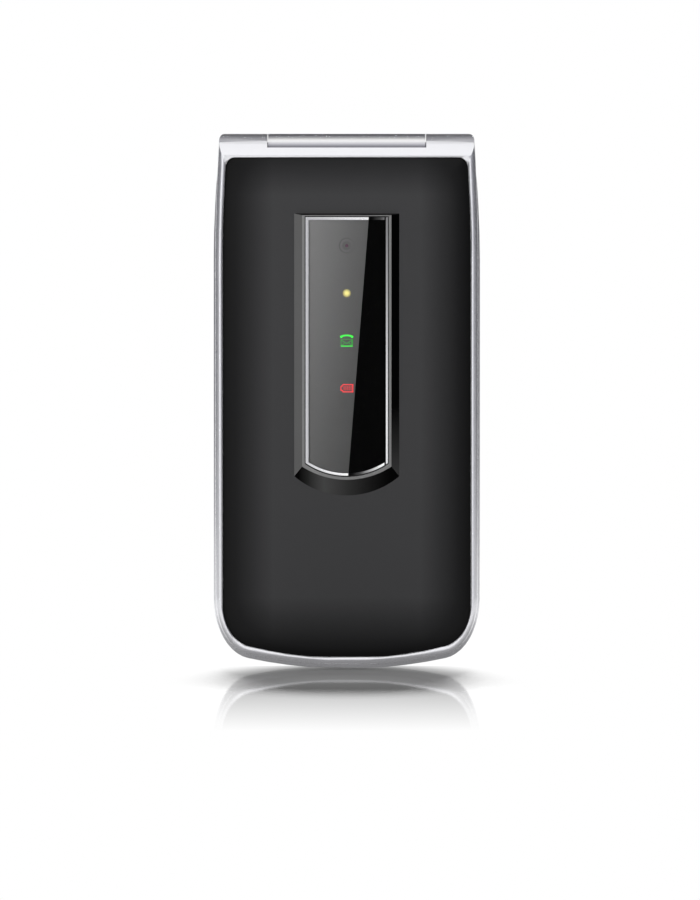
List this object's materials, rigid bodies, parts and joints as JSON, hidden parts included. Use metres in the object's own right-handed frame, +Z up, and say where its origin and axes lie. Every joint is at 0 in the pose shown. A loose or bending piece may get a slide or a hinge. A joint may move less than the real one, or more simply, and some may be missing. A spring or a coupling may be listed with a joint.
{
  "type": "flip phone",
  "caption": "Clamshell mobile phone with a hinged lid, an outer window with camera and lights, a full keypad, a volume rocker and a removable battery cover.",
  "frame": {"origin": "middle of the footprint, on the surface that the chin stands on", "axes": "+Z up to the hinge, -Y out of the lid's outer cover, +Y out of the battery cover, +X to the right seen from the lid side"},
  "size_m": [0.0536, 0.019, 0.1073],
  "materials": {
    "silver_paint": "silver lacquer over moulded plastic",
    "black_satin": "satin black moulded plastic",
    "chrome_trim": "bright bevelled trim",
    "tinted_glass": "dark tinted window",
    "screen_glass": "clear hard screen glass",
    "black_plastic": "fine textured black plastic",
    "lamp_yellow": "pale yellow lamp",
    "lamp_green": "green light guide",
    "lamp_red": "red light guide",
    "circuit_board": "green circuit board",
    "display_panel": "display panel in a metal frame",
    "steel": "plain steel",
    "black_rubber": "soft black rubber",
    "grey_rubber": "grey silicone rubber",
    "flex_film": "amber polyimide film",
    "dome_film": "film with switch domes",
    "gold_contact": "brass and gold plating",
    "battery_case": "wrapped metal battery case",
    "key_plastic": "dark key plastic",
    "call_plastic": "green-tinted key plastic",
    "end_plastic": "red-tinted key plastic"
  },
  "bodies": {
    "base": {"base_front_housing": "silver_paint", "base_rear_housing": "black_plastic", "keypad_mat": "grey_rubber", "dome_sheet": "dome_film", "main_board": "circuit_board", "shield_can": "steel", "sim_holder": "steel", "battery_contacts": "gold_contact", "battery": "battery_case", "loudspeaker": "steel", "speaker_mesh": "steel", "vibration_motor": "steel", "microphone": "steel", "usb_socket": "steel", "antenna": "flex_film", "hinge_module": "steel", "hinge_bush": "gold_contact", "base_screws": "steel"},
    "lid": {"lid_frame": "silver_paint", "outer_cover": "black_satin", "window_trim": "chrome_trim", "window_lens": "tinted_glass", "camera_module": "black_plastic", "flash_led": "lamp_yellow", "call_light_guide": "lamp_green", "battery_light_guide": "lamp_red", "indicator_board": "circuit_board", "lid_inner_housing": "black_plastic", "display_module": "display_panel", "display_lens": "screen_glass", "earpiece_speaker": "steel", "lid_screws": "steel", "lid_bumpers": "black_rubber", "lid_magnet": "steel", "hinge_shaft": "steel", "hinge_pin": "steel", "display_flex": "flex_film"},
    "battery_cover": {"battery_cover": "black_satin"},
    "volume_rocker": {"volume_rocker": "silver_paint"},
    "key_1": {"key_1": "key_plastic"},
    "key_2": {"key_2": "key_plastic"},
    "key_3": {"key_3": "key_plastic"},
    "key_4": {"key_4": "key_plastic"},
    "key_5": {"key_5": "key_plastic"},
    "key_6": {"key_6": "key_plastic"},
    "key_7": {"key_7": "key_plastic"},
    "key_8": {"key_8": "key_plastic"},
    "key_9": {"key_9": "key_plastic"},
    "key_star": {"key_star": "key_plastic"},
    "key_0": {"key_0": "key_plastic"},
    "key_hash": {"key_hash": "key_plastic"},
    "soft_key_left": {"soft_key_left": "key_plastic"},
    "soft_key_right": {"soft_key_right": "key_plastic"},
    "call_key": {"call_key": "call_plastic"},
    "end_key": {"end_key": "end_plastic"},
    "ok_key": {"ok_key": "chrome_trim"},
    "nav_up": {"nav_up": "key_plastic"},
    "nav_down": {"nav_down": "key_plastic"},
    "nav_left": {"nav_left": "key_plastic"},
    "nav_right": {"nav_right": "key_plastic"}
  },
  "joints": [
    {"name": "flip_hinge", "type": "hinge", "parent": "base", "child": "lid", "pos_m": [0, -0.00175, 0.1023], "axis": [-1, 0, 0], "range_deg": [0, 160]},
    {"name": "battery_cover_lift", "type": "slide", "parent": "base", "child": "battery_cover", "axis": [0, 1, 0], "range_m": [0, 0.012]},
    {"name": "volume_rock", "type": "hinge", "parent": "base", "child": "volume_rocker", "pos_m": [0.0248, 0.0054, 0.058], "axis": [0, 1, 0], "range_deg": [-3, 3], "stiffness_Nm_per_rad": 0.2},
    {"name": "key_1_press", "type": "slide", "parent": "base", "child": "key_1", "axis": [0, 1, 0], "range_m": [0, 0.0003], "stiffness_N_per_m": 3000, "springref_m": -0.0003},
    {"name": "key_2_press", "type": "slide", "parent": "base", "child": "key_2", "axis": [0, 1, 0], "range_m": [0, 0.0003], "stiffness_N_per_m": 3000, "springref_m": -0.0003},
    {"name": "key_3_press", "type": "slide", "parent": "base", "child": "key_3", "axis": [0, 1, 0], "range_m": [0, 0.0003], "stiffness_N_per_m": 3000, "springref_m": -0.0003},
    {"name": "key_4_press", "type": "slide", "parent": "base", "child": "key_4", "axis": [0, 1, 0], "range_m": [0, 0.0003], "stiffness_N_per_m": 3000, "springref_m": -0.0003},
    {"name": "key_5_press", "type": "slide", "parent": "base", "child": "key_5", "axis": [0, 1, 0], "range_m": [0, 0.0003], "stiffness_N_per_m": 3000, "springref_m": -0.0003},
    {"name": "key_6_press", "type": "slide", "parent": "base", "child": "key_6", "axis": [0, 1, 0], "range_m": [0, 0.0003], "stiffness_N_per_m": 3000, "springref_m": -0.0003},
    {"name": "key_7_press", "type": "slide", "parent": "base", "child": "key_7", "axis": [0, 1, 0], "range_m": [0, 0.0003], "stiffness_N_per_m": 3000, "springref_m": -0.0003},
    {"name": "key_8_press", "type": "slide", "parent": "base", "child": "key_8", "axis": [0, 1, 0], "range_m": [0, 0.0003], "stiffness_N_per_m": 3000, "springref_m": -0.0003},
    {"name": "key_9_press", "type": "slide", "parent": "base", "child": "key_9", "axis": [0, 1, 0], "range_m": [0, 0.0003], "stiffness_N_per_m": 3000, "springref_m": -0.0003},
    {"name": "key_star_press", "type": "slide", "parent": "base", "child": "key_star", "axis": [0, 1, 0], "range_m": [0, 0.0003], "stiffness_N_per_m": 3000, "springref_m": -0.0003},
    {"name": "key_0_press", "type": "slide", "parent": "base", "child": "key_0", "axis": [0, 1, 0], "range_m": [0, 0.0003], "stiffness_N_per_m": 3000, "springref_m": -0.0003},
    {"name": "key_hash_press", "type": "slide", "parent": "base", "child": "key_hash", "axis": [0, 1, 0], "range_m": [0, 0.0003], "stiffness_N_per_m": 3000, "springref_m": -0.0003},
    {"name": "soft_key_left_press", "type": "slide", "parent": "base", "child": "soft_key_left", "axis": [0, 1, 0], "range_m": [0, 0.0003], "stiffness_N_per_m": 3000, "springref_m": -0.0003},
    {"name": "soft_key_right_press", "type": "slide", "parent": "base", "child": "soft_key_right", "axis": [0, 1, 0], "range_m": [0, 0.0003], "stiffness_N_per_m": 3000, "springref_m": -0.0003},
    {"name": "call_key_press", "type": "slide", "parent": "base", "child": "call_key", "axis": [0, 1, 0], "range_m": [0, 0.0003], "stiffness_N_per_m": 3000, "springref_m": -0.0003},
    {"name": "end_key_press", "type": "slide", "parent": "base", "child": "end_key", "axis": [0, 1, 0], "range_m": [0, 0.0003], "stiffness_N_per_m": 3000, "springref_m": -0.0003},
    {"name": "ok_key_press", "type": "slide", "parent": "base", "child": "ok_key", "axis": [0, 1, 0], "range_m": [0, 0.0003], "stiffness_N_per_m": 3000, "springref_m": -0.0003},
    {"name": "nav_up_press", "type": "slide", "parent": "base", "child": "nav_up", "axis": [0, 1, 0], "range_m": [0, 0.0003], "stiffness_N_per_m": 3000, "springref_m": -0.0003},
    {"name": "nav_down_press", "type": "slide", "parent": "base", "child": "nav_down", "axis": [0, 1, 0], "range_m": [0, 0.0003], "stiffness_N_per_m": 3000, "springref_m": -0.0003},
    {"name": "nav_left_press", "type": "slide", "parent": "base", "child": "nav_left", "axis": [0, 1, 0], "range_m": [0, 0.0003], "stiffness_N_per_m": 3000, "springref_m": -0.0003},
    {"name": "nav_right_press", "type": "slide", "parent": "base", "child": "nav_right", "axis": [0, 1, 0], "range_m": [0, 0.0003], "stiffness_N_per_m": 3000, "springref_m": -0.0003}
  ]
}
